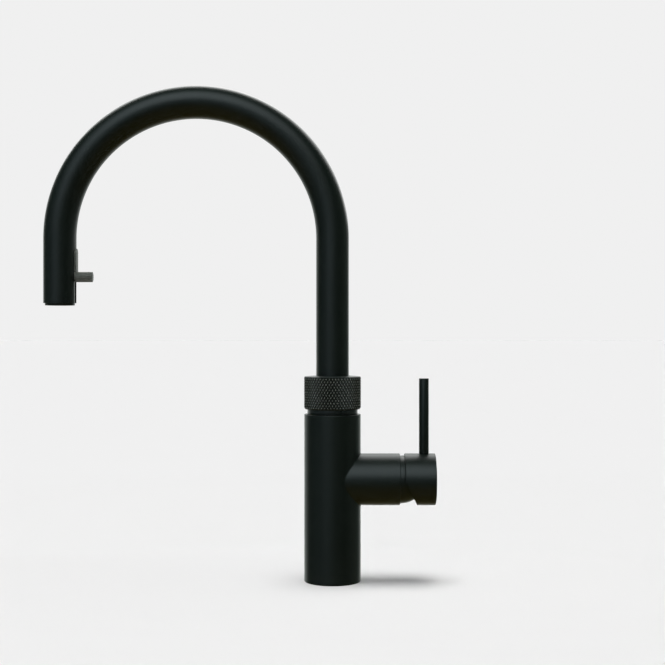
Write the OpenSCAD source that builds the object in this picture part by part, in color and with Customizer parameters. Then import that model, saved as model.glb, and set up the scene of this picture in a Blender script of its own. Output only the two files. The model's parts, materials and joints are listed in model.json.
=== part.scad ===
// Boiling water tap: swan-neck spout with pull-out nozzle, push-and-turn knob, single-lever mixer.
// The origin is the centre of the base face. +Z is up, +X points along the mixer branch,
// and the spout rests over -X.

/* [Column] */
// Diameter of the column
column_d = 46.2; // [45:0.1:52]
// Height of the column above the worktop
column_h = 136.7; // [130:0.1:170]
// Wall round the neck sleeve
column_wall = 2.45; // [2:0.05:3.5]
// Depth to which the neck sleeve sits in the column
sleeve_depth = 24.7; // [23:0.1:28]
// Diameter of the threaded socket for the deck stud
deck_thread_d = 33; // [32.6:0.1:34]
// Depth of that socket
deck_thread_l = 14; // [10:0.5:20]
// Width of the base gasket
gasket_w = 3.2; // [2:0.1:3.6]
// Thickness of the base gasket
gasket_t = 2; // [1:0.1:3]
// Break along the outer edges
edge = 0.4; // [0.1:0.1:0.8]

/* [Water ways] */
// Drill for the threaded hot, cold and mixed ports
port_d = 7; // [6:0.1:7.2]
// Depth of the port threads
port_thread_l = 10; // [6:0.5:14]
// Diameter of the water channels above the threads
channel_d = 5.6; // [4:0.1:6]
// Pitch radius of the ports round the column's axis
port_pitch_r = 12.6; // [12.5:0.05:12.8]
// Angle of the hot and cold ports from the branch
port_angle = 40; // [38:1:44]
// Diameter of the pull-out hose
hose_d = 9; // [8:0.1:9.2]
// Bore of the pull-out hose
hose_bore = 6; // [5:0.1:7]
// Diameter of the boiling water tube
boil_d = 4.4; // [4:0.1:4.6]
// Bore of the boiling water tube
boil_bore = 3.2; // [2.4:0.1:3.4]

/* [Neck and knob] */
// Thickness of the light ring
light_ring_t = 0.8; // [0.6:0.05:1]
// Height of the light ring
light_ring_h = 5.2; // [4.8:0.1:7]
// Height of the ring that the return springs stand on
spring_seat_h = 4; // [3.5:0.1:5]
// Gap that shows between the column and the knob
neck_gap = 4.1; // [3.6:0.1:4.6]
// Diameter of the knob over the knurl
knob_d = 46.5; // [46.3:0.1:50]
// Height of the knob
knob_h = 25.9; // [25.6:0.1:32]
// Thickness of the knob's top
knob_top_t = 2.7; // [2:0.1:3.2]
// Downward travel of the knob
knob_travel = 3; // [1:0.1:3.1]
// Diamonds round the knurl
knurl_n = 56; // [40:1:64]
// Rows of the knurl
knurl_rows = 11; // [7:1:13]
// Depth of the knurl
knurl_depth = 0.6; // [0.3:0.05:0.7]
// Plain band below the knurl
knurl_foot = 1.2; // [0.8:0.1:2]
// Plain band above the knurl
knurl_head = 0.9; // [0.6:0.1:2]
// Thickness of the push carrier's flange
carrier_flange_t = 3; // [2.5:0.1:3.4]
// Wall of the push carrier's skirt
carrier_wall = 0.8; // [0.7:0.05:1]
// Length of the push carrier's skirt
carrier_skirt_l = 9.5; // [8:0.1:9.8]
// Diameter of the guide pins
guide_pin_d = 2; // [1.6:0.1:2.2]
// Wire of the return springs
spring_wire = 0.5; // [0.4:0.05:0.6]
// Coils in a return spring
spring_turns = 6; // [4:1:7]

/* [Spout] */
// Diameter of the spout tube
spout_d = 26.75; // [26:0.05:27.2]
// Wall of the spout tube
spout_wall = 1.2; // [1:0.05:1.5]
// Distance from the column's axis to the outlet's axis
spout_reach = 223.5; // [160:0.5:260]
// Height at which the arch begins
arch_z = 280.4; // [240:0.1:320]
// Straight tube between the arch and the outlet
outlet_drop = 52.8; // [52:0.1:70]
// Width of the slot up the tube's inner side
slot_w = 9; // [8.6:0.1:11]
// Height of the slot's round top above the outlet
slot_h = 44.9; // [44:0.1:46]
// Thickness of the swivel bushes
bush_t = 0.8; // [0.6:0.05:1]
// Wall of the neck sleeve above the spring seat
sleeve_wall = 1.2; // [1:0.05:1.4]
// Swivel of the spout, end to end
swivel_range = 270; // [180:5:290]

/* [Nozzle] */
// Wall of the nozzle sleeve
nozzle_wall = 1.05; // [0.9:0.05:1.3]
// Length of nozzle that shows below the tube
nozzle_lip = 1.9; // [1:0.1:3]
// Diameter of the pull pin
pull_pin_d = 8; // [6:0.1:8.2]
// Length of the pull pin outside the spout tube
pull_pin_l = 13.5; // [8:0.1:20]
// Distance of the pull pin's axis below the slot's top
pull_pin_drop = 23.5; // [22.5:0.1:23.9]
// Distance that the key strip stands proud of the tube
key_proud = 0.2; // [0.1:0.05:0.6]
// Holes in the outer ring of the spray plate
spray_holes = 18; // [12:1:20]

/* [Mixer] */
// Diameter of the branch and the lever hub
branch_d = 42.2; // [42:0.1:46]
// Height of the branch's axis
branch_z = 83.2; // [70:0.1:86]
// Distance from the column's axis to the branch's end
branch_reach = 55.1; // [55:0.1:60]
// Diameter of the mixer cartridge
cartridge_d = 35; // [34.8:0.1:35.4]
// Length of the cartridge's space in the branch
cartridge_space = 37.1; // [36.8:0.1:37.4]
// Diameter of the ceramic port holes
disc_port_d = 5.2; // [4:0.1:5.6]
// Diameter of the dome
dome_d = 38.8; // [38.4:0.1:39]
// Wall of the dome
dome_wall = 1.6; // [1.2:0.1:2]
// Distance of the tilt pivot outside the branch's end
pivot_out = 1.3; // [0.8:0.1:1.6]
// Gap between the branch's end and the lever hub
hub_gap = 3.9; // [3:0.1:5]
// Length of the lever hub
hub_l = 25.1; // [24.8:0.1:30]
// Slope of the hub's undercut from upright
hub_undercut = 26; // [25.5:0.5:30]
// Diameter of the stem, and of the socket that takes it
stem_d = 8; // [7:0.1:8.2]
// Diameter of the lever rod
lever_d = 8; // [6:0.1:9]
// Distance of the lever rod's axis from the hub's end
lever_in = 9.2; // [8.6:0.1:9.6]
// Height of the lever's tip above the branch's axis
lever_h = 82.7; // [50:0.1:120]

/* [Clearances] */
// Running clearance of turning and sliding fits
run_fit = 0.05; // [0.02:0.01:0.09]
// Clearance of pieces that are assembled and stay put
seat_fit = 0.05; // [0.02:0.01:0.1]
// Free gap round moving pieces that don't bear
free_gap = 0.4; // [0.35:0.01:0.45]

/* [Hidden] */
$fn = 64;

satin_black = "#1d2120";
gunmetal = "#4a4e50";
dark_metal = "#3a3d3e";
steel = "#b8bcc0";
brass = "#b08d4a";
smoked = "#2b2f33";
white_plastic = "#e6e6e2";
grey_plastic = "#6d7276";
ceramic = "#f2efe6";
rubber = "#17181a";
board_green = "#1f6b3a";

over = 1; // how far a cutter reaches past the face that it cuts

// Column and neck, from the axis outwards
column_r = column_d / 2;
neck_bore_r = column_r - column_wall;
neck_r = neck_bore_r - seat_fit * 2;
spout_r = spout_d / 2;
spout_bore_r = spout_r - spout_wall;
bush_r = spout_r + run_fit + bush_t;
sleeve_bore_r = bush_r + seat_fit;
sleeve_top_r = sleeve_bore_r + sleeve_wall;
ring_seat_r = neck_r - light_ring_t - seat_fit;
carrier_r = neck_r;
carrier_bore_r = carrier_r - carrier_wall;
guide_pitch_r = (sleeve_top_r + carrier_bore_r) / 2;
guide_pin_r = guide_pin_d / 2;
guide_head_r = guide_pin_r + 0.5;
guide_head_t = 1.2;
guide_count = 3;
guide_angle = 30;
guide_pin_grip = 2;
guide_well_l = guide_head_t + knob_travel + 0.6;
spring_r = guide_pin_r + 0.25 + spring_wire / 2;
seat_screw_l = 3.5;
seat_screw_r = 0.8;
seat_head_t = 0.9;
seat_head_r = 1.5;
collar_r = sleeve_top_r + 0.1;
gasket_r = column_r - 1.6;
knob_r = knob_d / 2;
knurl_seat_r = knob_r - knurl_depth - 0.4;
retainer_r = carrier_r + 0.85;
magnet_r = 1.4;
magnet_depth = 0.85;

// Neck heights, from the column upwards
sleeve_z = column_h - sleeve_depth;
spring_seat_z = column_h + light_ring_h + seat_fit * 2;
spring_foot_z = spring_seat_z + spring_seat_h;
knob_z = column_h + neck_gap;
knob_top_z = knob_z + knob_h;
carrier_top_z = knob_top_z - knob_top_t;
carrier_flange_z = carrier_top_z - carrier_flange_t;
carrier_skirt_z = carrier_flange_z - carrier_skirt_l;
collar_t = 2.05;
collar_z = carrier_top_z - knob_travel - 1.7 - collar_t;
bush_flange_t = 1.2;
sleeve_top_z = collar_z - run_fit - bush_flange_t;
led_groove_l = 5.2;
retainer_t = 1.2;
retainer_z = carrier_skirt_z - 0.15 - retainer_t;
o_ring_r = 0.85;
o_ring_groove = 2.2;
o_ring_foot = 7.5;
o_ring_pitch = 6;
o_ring_heights = [sleeve_z + o_ring_foot, sleeve_z + o_ring_foot + o_ring_pitch];

// Spout foot, from the bottom of the sleeve upwards
foot_recess_r = sleeve_bore_r + 2.8;
foot_recess_l = 10;
foot_shoulder_z = sleeve_z + foot_recess_l;
bush_flange_z = foot_shoulder_z - seat_fit - bush_flange_t;
washer_t = 1;
washer_z = bush_flange_z - run_fit - washer_t;
circlip_t = 1.1;
circlip_z = washer_z - run_fit - circlip_t;
circlip_depth = 0.5;
spout_foot_z = circlip_z - 2.2;
stop_pin_r = 1.25;
stop_tongue_l = 3.4;
stop_pin_z = spout_foot_z - stop_tongue_l / 2;
stop_pin_reach = spout_bore_r + 0.35;
stop_half_angle = (360 - swivel_range) / 2 - asin(stop_pin_r / stop_pin_reach) - 1;
lower_bush_l = 11;
upper_bush_l = 15;

// Arch and outlet
arch_r = spout_reach / 2;
outlet_z = arch_z - outlet_drop;
pipe_gap = 1;
pipe_half = (hose_d + pipe_gap + boil_d) / 2;
hose_x = -(pipe_half - hose_d / 2);
boil_x = pipe_half - boil_d / 2;
ferrule_wall = 0.5;
ferrule_l = 14;
pipe_bore_r = pipe_half + ferrule_wall + 0.3;
pipe_foot_z = deck_thread_l + 2;
slot_top_z = outlet_z + slot_h;
slot_spring_z = slot_top_z - slot_w / 2;

// Nozzle heights, from the outlet upwards
nozzle_r = spout_bore_r - 0.12;
nozzle_bore_r = nozzle_r - nozzle_wall;
nozzle_fill_r = nozzle_bore_r - seat_fit;
nozzle_z = outlet_z - nozzle_lip;
dock_drop = 5.9;
nozzle_top_z = slot_top_z - dock_drop;
dock_plate_t = 2;
dock_plate_z = nozzle_top_z;
dock_gap = 0.1;
magnet_z = dock_plate_z + dock_plate_t + dock_gap;
magnet_t = 4.4;
magnet_ring_r = spout_bore_r - 0.6;
magnet_bore_r = 8.3;
guide_plate_z = magnet_z + magnet_t;
guide_plate_t = arch_z - 0.4 - guide_plate_z;
pull_pin_z = slot_top_z - pull_pin_drop;
fitting_t = 9;
fitting_sink = 3.2;
fitting_z = nozzle_top_z - fitting_sink - fitting_t;
hose_end_z = fitting_z + 3;
boil_end_z = fitting_z + fitting_t - 2;
housing_t = 14;
housing_z = nozzle_z + 0.5;
housing_bore_r = nozzle_fill_r - 1.3;
plate_z = housing_z + 0.6;
plate_t = 1.6;
stack_r = housing_bore_r - seat_fit;
screen_t = 0.4;
screen_z = plate_z + plate_t + 0.05;
straightener_t = 4.6;
straightener_z = screen_z + 2 * screen_t + 0.1;
regulator_t = 3.4;
regulator_z = straightener_z + straightener_t + 0.05;
pin_screw_r = 1.2;

// Mixer, outwards along the branch
branch_r = branch_d / 2;
cartridge_r = cartridge_d / 2;
cartridge_bore_r = cartridge_r + 0.2;
cartridge_floor_x = branch_reach - cartridge_space;
housing_x = cartridge_floor_x + 0.6;
housing_floor_t = 4;
housing_wall = 1.5;
housing_l = 25.4;
cup_r = cartridge_r - housing_wall;
disc_t = 5;
fixed_disc_x = housing_x + housing_floor_t + seat_fit;
moving_disc_x = fixed_disc_x + disc_t + run_fit;
moving_disc_r = 11.5;
carrier_x = moving_disc_x + disc_t + run_fit;
carrier_foot_r = 14.5;
carrier_foot_t = 3.5;
rotor_r = 12;
rotor_fit = run_fit * 2;
cap_x = carrier_x + carrier_foot_t + 0.3;
cap_rim_x = housing_x + housing_l;
cap_rim_t = 2;
nut_x = cap_rim_x + cap_rim_t;
nut_t = 5;
pivot_x = branch_reach + pivot_out;
dome_r = dome_d / 2;
dome_skirt_l = branch_reach - nut_x - nut_t - 0.1;
rotor_end_x = pivot_x + 3.6;
pivot_pin_r = 1.5;
tilt_range = 25;
stem_r = stem_d / 2;
stem_arm_r = 2;
stem_ball_r = 3;
stem_arm_l = 9.4;
stem_ball_x = pivot_x - stem_arm_l;
driver_x = carrier_x;
driver_end_x = stem_ball_x + 1.6;
driver_half = 5;
driver_key_t = 1.5;
driver_travel = (pivot_x - stem_ball_x) * sin(tilt_range);
stem_slot_half = stem_r + 0.3;
hub_x = branch_reach + hub_gap;
hub_end_x = hub_x + hub_l;
hub_bore_r = dome_r + free_gap;
hub_boss_r = stem_r + 2.5;
hub_boss_out = 9.5;
hub_boss_x = pivot_x + hub_boss_out;
stem_end_x = hub_end_x - 3.6;
lever_r = lever_d / 2;
lever_x = hub_end_x - lever_in;
lever_seat_h = sqrt(pow(hub_bore_r, 2) - pow(lever_x - lever_r - pivot_x, 2)) + 1;
grub_x = hub_end_x - 6.1;
grub_r = 2;
channel_r = channel_d / 2;
port_r = port_d / 2;
seal_wire_r = 0.7;
seal_r = channel_r + 0.2 + seal_wire_r;
seal_pocket = 0.85;
port_up = 3.5;
port_down = 8;
hot_port = [port_pitch_r * sin(port_angle), port_up];
cold_port = [-port_pitch_r * sin(port_angle), port_up];
mixed_port = [0, -port_down];

// ---- shared shapes ----

module ring(outer, inner, height) {
  difference() {
    cylinder(r = outer, h = height);
    translate([0, 0, -over]) cylinder(r = inner, h = height + 2 * over);
  }
}

// A solid of revolution between two flat ends, with both outer edges broken
module broken_rod(radius, height, break_low, break_high) {
  rotate_extrude() polygon([
    [0, 0], [radius - break_low, 0], [radius, break_low],
    [radius, height - break_high], [radius - break_high, height], [0, height]]);
}

// Turns a shape that stands on Z so that it runs along the branch from x
module along_branch(x) {
  translate([x, 0, branch_z]) rotate([0, 90, 0]) children();
}

// The same at a port, given as [sideways, upwards] from the branch's axis
module at_port(x, port) {
  translate([x, port[0], branch_z + port[1]]) rotate([0, 90, 0]) children();
}

module at_outlet(z) {
  translate([-spout_reach, 0, z]) children();
}

module round_guides(count, first_angle, radius, z) {
  for (i = [0 : count - 1])
    rotate([0, 0, first_angle + i * 360 / count]) translate([radius, 0, z]) children();
}

// A round bar along the spout's route: up the column, over the arch and down to the outlet side
module route_bar(radius, offset, foot_z, end_z) {
  bend_r = arch_r + offset;
  translate([offset, 0, foot_z]) cylinder(r = radius, h = arch_z - foot_z);
  translate([-arch_r, 0, arch_z]) rotate([90, 0, 0])
    rotate_extrude(angle = 180) translate([bend_r, 0]) circle(r = radius);
  translate([-arch_r - bend_r, 0, end_z]) cylinder(r = radius, h = arch_z - end_z);
}

// ---- column ----

module port_channel(port, x, y) {
  translate([x, y, deck_thread_l - over]) cylinder(r = port_r, h = port_thread_l + over);
  translate([x, y, deck_thread_l])
    cylinder(r = channel_r, h = branch_z + port[1] + channel_r - deck_thread_l);
  at_port(x, port) cylinder(r = channel_r, h = cartridge_floor_x - x + over);
}

module tap_body() {
  port_x = port_pitch_r * cos(port_angle);
  color(satin_black) difference() {
    union() {
      broken_rod(column_r, column_h, edge, edge);
      along_branch(0) broken_rod(branch_r, branch_reach, edge, edge);
    }
    translate([0, 0, -over]) cylinder(r = deck_thread_d / 2, h = deck_thread_l + over);
    translate([0, 0, -over]) ring(gasket_r + seat_fit, gasket_r - gasket_w - seat_fit, gasket_t + over);
    cylinder(r = pipe_bore_r, h = column_h);
    translate([0, 0, sleeve_z]) cylinder(r = neck_bore_r, h = sleeve_depth + over);
    along_branch(cartridge_floor_x) cylinder(r = cartridge_bore_r, h = cartridge_space + over);
    port_channel(hot_port, port_x, hot_port[0]);
    port_channel(cold_port, port_x, cold_port[0]);
    port_channel(mixed_port, port_pitch_r, 0);
  }
}

module base_gasket() {
  color(rubber) ring(gasket_r, gasket_r - gasket_w, gasket_t);
}

module neck_sleeve() {
  o_ring_depth = 2 * o_ring_r + 0.04 - (neck_bore_r - neck_r);
  color(brass) difference() {
    rotate_extrude() polygon([
      [0, sleeve_z], [neck_r, sleeve_z],
      [neck_r, column_h - led_groove_l], [ring_seat_r, column_h - led_groove_l],
      [ring_seat_r, spring_seat_z], [sleeve_top_r, spring_seat_z],
      [sleeve_top_r, sleeve_top_z], [0, sleeve_top_z]]);
    translate([0, 0, sleeve_z - over]) cylinder(r = sleeve_bore_r, h = sleeve_top_z);
    translate([0, 0, sleeve_z - over]) cylinder(r = foot_recess_r, h = foot_recess_l + over);
    for (z = o_ring_heights)
      translate([0, 0, z - o_ring_groove / 2]) ring(neck_r + over, neck_r - o_ring_depth, o_ring_groove);
    round_guides(guide_count, guide_angle, guide_pitch_r, spring_seat_z - guide_well_l)
      cylinder(r = guide_head_r + 0.15, h = guide_well_l + over);
    round_guides(guide_count, guide_angle + 60, guide_pitch_r, spring_seat_z - seat_screw_l)
      cylinder(r = seat_screw_r, h = seat_screw_l + over);
    stop_pin_hole(stop_pin_r);
  }
}

module sleeve_o_rings() {
  color(rubber) for (z = o_ring_heights)
    translate([0, 0, z]) rotate_extrude()
      translate([neck_bore_r - o_ring_r - 0.02, 0]) circle(r = o_ring_r);
}

module stop_pin_hole(radius) {
  rotate([0, 0, 90]) translate([stop_pin_reach, 0, stop_pin_z]) rotate([0, 90, 0])
    cylinder(r = radius, h = neck_r - stop_pin_reach - 0.1);
}

module swivel_stop_pin() {
  color(steel) stop_pin_hole(stop_pin_r - 0.01);
}

module light_ring() {
  color(smoked) translate([0, 0, column_h + seat_fit]) ring(neck_r, ring_seat_r + seat_fit, light_ring_h);
}

// A strip wound round the sleeve, with its lamps under the light ring
module led_strip() {
  strip_t = 0.3;
  strip_r = ring_seat_r + seat_fit;
  lamp_w = 1.6;
  lamp_t = 0.55;
  color(board_green) {
    translate([0, 0, column_h - led_groove_l + 0.1]) ring(strip_r + strip_t, strip_r, led_groove_l - 0.8);
    round_guides(12, 0, strip_r + 0.1, column_h - 2.1)
      translate([0, -lamp_w / 2, 0]) cube([lamp_t, lamp_w, 2]);
  }
}

module spring_seat() {
  color(grey_plastic) translate([0, 0, spring_seat_z]) difference() {
    ring(neck_r - 0.25, sleeve_top_r + seat_fit, spring_seat_h);
    round_guides(guide_count, guide_angle, guide_pitch_r, -over)
      cylinder(r = guide_pin_r + run_fit, h = spring_seat_h + 2 * over);
    round_guides(guide_count, guide_angle + 60, guide_pitch_r, -over)
      cylinder(r = seat_screw_r + seat_fit, h = spring_seat_h + 2 * over);
    round_guides(guide_count, guide_angle + 60, guide_pitch_r, spring_seat_h - seat_head_t)
      cylinder(r1 = seat_screw_r + seat_fit, r2 = seat_head_r + seat_fit, h = seat_head_t + 0.001);
  }
}

module seat_screws() {
  color(steel) round_guides(guide_count, guide_angle + 60, guide_pitch_r, spring_seat_z - seat_screw_l) {
    cylinder(r = seat_screw_r, h = seat_screw_l + spring_seat_h - seat_head_t + seat_fit);
    translate([0, 0, seat_screw_l + spring_seat_h - seat_head_t])
      cylinder(r1 = seat_screw_r, r2 = seat_head_r, h = seat_head_t);
  }
}

// Curved board that reads the knob's magnets
module sensor_board() {
  board_t = 0.7;
  chip_t = 0.9;
  span = 34;
  inner_r = sleeve_top_r + 0.5;
  color(board_green) translate([0, 0, spring_foot_z]) {
    rotate([0, 0, 180 - span / 2]) rotate_extrude(angle = span)
      translate([inner_r, 0]) square([carrier_bore_r - inner_r, board_t]);
    translate([-carrier_bore_r + 0.9, -1.5, board_t]) cube([2.2, 3, chip_t]);
  }
}

module swivel_bush(length, flange_r) {
  ring(bush_r, spout_r + run_fit, length);
  ring(flange_r, spout_r + run_fit, bush_flange_t);
}

module upper_swivel_bush() {
  color(white_plastic) translate([0, 0, collar_z - run_fit]) mirror([0, 0, 1])
    swivel_bush(upper_bush_l, sleeve_top_r);
}

module lower_swivel_bush() {
  color(white_plastic) translate([0, 0, bush_flange_z]) swivel_bush(lower_bush_l, foot_recess_r - 0.4);
}

// ---- mixer cartridge ----

module port_bores(x, length, diameter) {
  for (port = [hot_port, cold_port, mixed_port])
    at_port(x, port) cylinder(d = diameter, h = length);
}

module cartridge_housing() {
  color(white_plastic) difference() {
    along_branch(housing_x) cylinder(r = cartridge_r, h = housing_l);
    along_branch(housing_x + housing_floor_t) cylinder(r = cup_r, h = housing_l);
    port_bores(housing_x - over, housing_floor_t + 2 * over, channel_d);
    port_bores(housing_x - over, seal_pocket + over, 2 * (seal_r + seal_wire_r + 0.3));
  }
}

module port_seals() {
  color(rubber) for (port = [hot_port, cold_port, mixed_port])
    at_port(cartridge_floor_x + seal_wire_r, port) rotate_extrude()
      translate([seal_r, 0]) circle(r = seal_wire_r);
}

module fixed_disc() {
  color(ceramic) difference() {
    along_branch(fixed_disc_x) cylinder(r = cup_r - 0.1, h = disc_t);
    port_bores(fixed_disc_x - over, disc_t + 2 * over, disc_port_d);
  }
}

module cartridge_cap() {
  color(white_plastic) difference() {
    union() {
      along_branch(cap_x) cylinder(r = cup_r - seat_fit, h = cap_rim_x - cap_x + 0.1);
      along_branch(cap_rim_x) cylinder(r = cartridge_r, h = cap_rim_t);
    }
    along_branch(cap_x - over) cylinder(r = rotor_r + rotor_fit, h = housing_l);
  }
}

// Threaded ring with two spanner slots, which presses the cartridge down
module cartridge_nut() {
  slot_half = 2;
  color(brass) difference() {
    along_branch(nut_x) ring(cartridge_bore_r - seat_fit, rotor_r + 1, nut_t);
    for (side = [-1, 1])
      translate([nut_x + nut_t - 2, side * (rotor_r + 3.5) - slot_half, branch_z - slot_half])
        cube([2 + over, 2 * slot_half, 2 * slot_half]);
  }
}

module pivot_ball(radius) {
  translate([pivot_x, 0, branch_z]) sphere(r = radius);
}

// Ball-shaped cover with a skirt that screws into the branch
module dome_cover() {
  inner_r = dome_r - dome_wall;
  mouth_angle = tilt_range + asin(hub_boss_r / inner_r) + 1.5;
  mouth_x = pivot_x + inner_r * cos(mouth_angle);
  shoulder_x = branch_reach + dome_wall;
  color(satin_black) difference() {
    union() {
      intersection() {
        pivot_ball(dome_r);
        along_branch(branch_reach) cylinder(r = dome_r + over, h = mouth_x - branch_reach);
      }
      along_branch(branch_reach - dome_skirt_l)
        cylinder(r = cartridge_bore_r - seat_fit, h = dome_skirt_l + 1);
    }
    intersection() {
      pivot_ball(inner_r);
      along_branch(shoulder_x) cylinder(r = dome_r, h = dome_r);
    }
    along_branch(branch_reach - dome_skirt_l - over)
      cylinder(r = cartridge_bore_r - dome_wall - 0.3, h = dome_skirt_l + dome_wall + over + 0.1);
  }
}

// Turning part of the cartridge: foot on the moving disc, window for the driver, slot for the stem
module cartridge_carrier() {
  window_half = driver_half + 0.2;
  slot_reach = 7;
  color(grey_plastic) difference() {
    union() {
      along_branch(carrier_x) cylinder(r = carrier_foot_r, h = carrier_foot_t);
      along_branch(carrier_x) broken_rod(rotor_r, rotor_end_x - carrier_x, 0.01, 1);
    }
    translate([carrier_x - over, -window_half, branch_z - window_half])
      cube([driver_end_x - carrier_x + over + 0.4, 2 * window_half, 2 * window_half + driver_travel + 0.2]);
    translate([driver_end_x, -stem_slot_half, branch_z - slot_reach])
      cube([rotor_end_x - driver_end_x + over, 2 * stem_slot_half, 2 * slot_reach]);
    pivot_bar(pivot_pin_r + 0.02, 2 * rotor_r);
  }
}

module pivot_bar(radius, length) {
  translate([pivot_x, length / 2, branch_z]) rotate([90, 0, 0]) cylinder(r = radius, h = length);
}

module pivot_pin() {
  color(steel) pivot_bar(pivot_pin_r, 2 * rotor_r - 1.4);
}

// Disc with a half-round chamber that joins the ports when it slides up
module moving_disc() {
  chamber_t = 2.5;
  land = 1.9;
  key_half = 3;
  color(ceramic) difference() {
    along_branch(moving_disc_x) cylinder(r = moving_disc_r, h = disc_t);
    intersection() {
      along_branch(moving_disc_x - over) cylinder(r = moving_disc_r - land, h = chamber_t + over);
      translate([moving_disc_x - over, -moving_disc_r, branch_z - moving_disc_r])
        cube([chamber_t + over, 2 * moving_disc_r, moving_disc_r - 0.3]);
    }
    translate([moving_disc_x + disc_t - driver_key_t - 0.1, -key_half - 0.1, branch_z - key_half - 0.1])
      cube([driver_key_t + over, 2 * key_half + 0.2, 2 * key_half + 0.2]);
  }
}

module disc_driver() {
  key_half = 3;
  color(grey_plastic) difference() {
    union() {
      translate([driver_x, -driver_half, branch_z - driver_half])
        cube([driver_end_x - driver_x, 2 * driver_half, 2 * driver_half]);
      translate([driver_x - driver_key_t, -key_half, branch_z - key_half])
        cube([driver_key_t + 0.5, 2 * key_half, 2 * key_half]);
    }
    along_branch(stem_ball_x - 5)
      cylinder(r = stem_ball_r + 0.15, h = driver_end_x - stem_ball_x + 5 + over);
  }
}

// ---- lever ----

module lever_stem() {
  color(steel) difference() {
    union() {
      along_branch(pivot_x - 3.4) broken_rod(stem_r, stem_end_x - pivot_x + 3.4, 0.4, 0.5);
      along_branch(stem_ball_x) cylinder(r = stem_arm_r, h = pivot_x - 3 - stem_ball_x);
      translate([stem_ball_x, 0, branch_z]) sphere(r = stem_ball_r);
    }
    pivot_bar(pivot_pin_r + run_fit, 2 * branch_r);
  }
}

module lever_hub() {
  color(satin_black) difference() {
    union() {
      difference() {
        along_branch(hub_x) broken_rod(branch_r, hub_l, edge / 2, edge);
        pivot_ball(hub_bore_r);
        // undercut that lets the hub tilt over the branch's end
        translate([hub_x, 0, branch_z]) rotate([0, -hub_undercut, 0])
          translate([-2 * branch_r, -2 * branch_r, -3 * branch_r])
            cube([2 * branch_r, 4 * branch_r, 3 * branch_r]);
      }
      along_branch(hub_boss_x) cylinder(r = hub_boss_r, h = stem_end_x - hub_boss_x);
    }
    along_branch(hub_boss_x - over) cylinder(r = stem_r + 0.02, h = stem_end_x - hub_boss_x + over);
    translate([lever_x, 0, branch_z + lever_seat_h]) cylinder(r = lever_r + 0.02, h = branch_r);
    translate([grub_x, 0, branch_z - branch_r - over])
      cylinder(r = grub_r + 0.02, h = branch_r + over - stem_r / 2);
  }
}

module lever_rod() {
  color(satin_black) translate([lever_x, 0, branch_z + lever_seat_h])
    broken_rod(lever_r, lever_h - lever_seat_h, 0.3, 0.3);
}

module lever_grub_screw() {
  socket_r = 1.1;
  screw_l = branch_r - stem_r - 3;
  color(steel) translate([grub_x, 0, branch_z - stem_r - 0.02]) mirror([0, 0, 1]) difference() {
    broken_rod(grub_r, screw_l, 0.4, 0.2);
    translate([0, 0, screw_l - 2]) cylinder(r = socket_r, h = 2 + over, $fn = 6);
  }
}

// ---- knob ----

// Ring that slides on the guide pins: the knob turns on its skirt
module push_carrier() {
  color(grey_plastic) difference() {
    union() {
      translate([0, 0, carrier_flange_z]) cylinder(r = carrier_r, h = carrier_flange_t);
      translate([0, 0, carrier_skirt_z]) ring(carrier_r, carrier_bore_r, carrier_skirt_l + 0.5);
    }
    translate([0, 0, carrier_flange_z - over])
      cylinder(r = collar_r + free_gap, h = carrier_flange_t + 2 * over);
    round_guides(guide_count, guide_angle, guide_pitch_r, carrier_flange_z - over)
      cylinder(r = guide_pin_r + 0.02, h = guide_pin_grip + over);
  }
}

module guide_pins() {
  pin_z = spring_seat_z - 0.1 - guide_head_t;
  color(steel) round_guides(guide_count, guide_angle, guide_pitch_r, pin_z) {
    cylinder(r = guide_pin_r, h = carrier_flange_z + guide_pin_grip - pin_z);
    cylinder(r = guide_head_r, h = guide_head_t);
  }
}

// One closed wire along a helix, as rings of points joined by triangles
module wire_coil(coil_r, wire_r, height, turns, sides = 6, per_turn = 12) {
  last = turns * per_turn;
  rise = (height - 2 * wire_r) / last;
  slope = atan(rise * per_turn / (2 * PI * coil_r));
  points = [for (i = [0 : last], j = [0 : sides - 1])
    let (turn = i * 360 / per_turn, face = j * 360 / sides,
      out = coil_r + wire_r * cos(face),
      side = wire_r * sin(face))
    [out * cos(turn) + side * sin(slope) * sin(turn),
      out * sin(turn) - side * sin(slope) * cos(turn),
      wire_r + i * rise + side * cos(slope)]];
  walls = [for (i = [0 : last - 1], j = [0 : sides - 1])
    let (a = i * sides + j, b = i * sides + (j + 1) % sides)
    each [[a, a + sides, b], [b, a + sides, b + sides]]];
  caps = [[for (j = [0 : sides - 1]) j], [for (j = [sides - 1 : -1 : 0]) last * sides + j]];
  polyhedron(points, concat(walls, caps), convexity = 4);
}

module return_springs() {
  color(steel) round_guides(guide_count, guide_angle, guide_pitch_r, spring_foot_z + 0.05)
    wire_coil(spring_r, spring_wire / 2, carrier_flange_z - spring_foot_z - 0.1, spring_turns);
}

module knob_core() {
  color(satin_black) difference() {
    translate([0, 0, knob_z + 0.4]) broken_rod(knurl_seat_r, knob_h - 0.4, 0.3, 0.3);
    translate([0, 0, knob_z - over]) cylinder(r = neck_r + free_gap, h = retainer_z - 0.05 - knob_z + over);
    translate([0, 0, retainer_z - 0.05]) cylinder(r = retainer_r + seat_fit, h = retainer_t + 0.1);
    translate([0, 0, retainer_z]) cylinder(r = carrier_r + 2 * run_fit, h = carrier_top_z - retainer_z);
    translate([0, 0, knob_z]) cylinder(r = spout_r + free_gap, h = knob_h + over);
    magnet_spots(0.05);
  }
}

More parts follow.
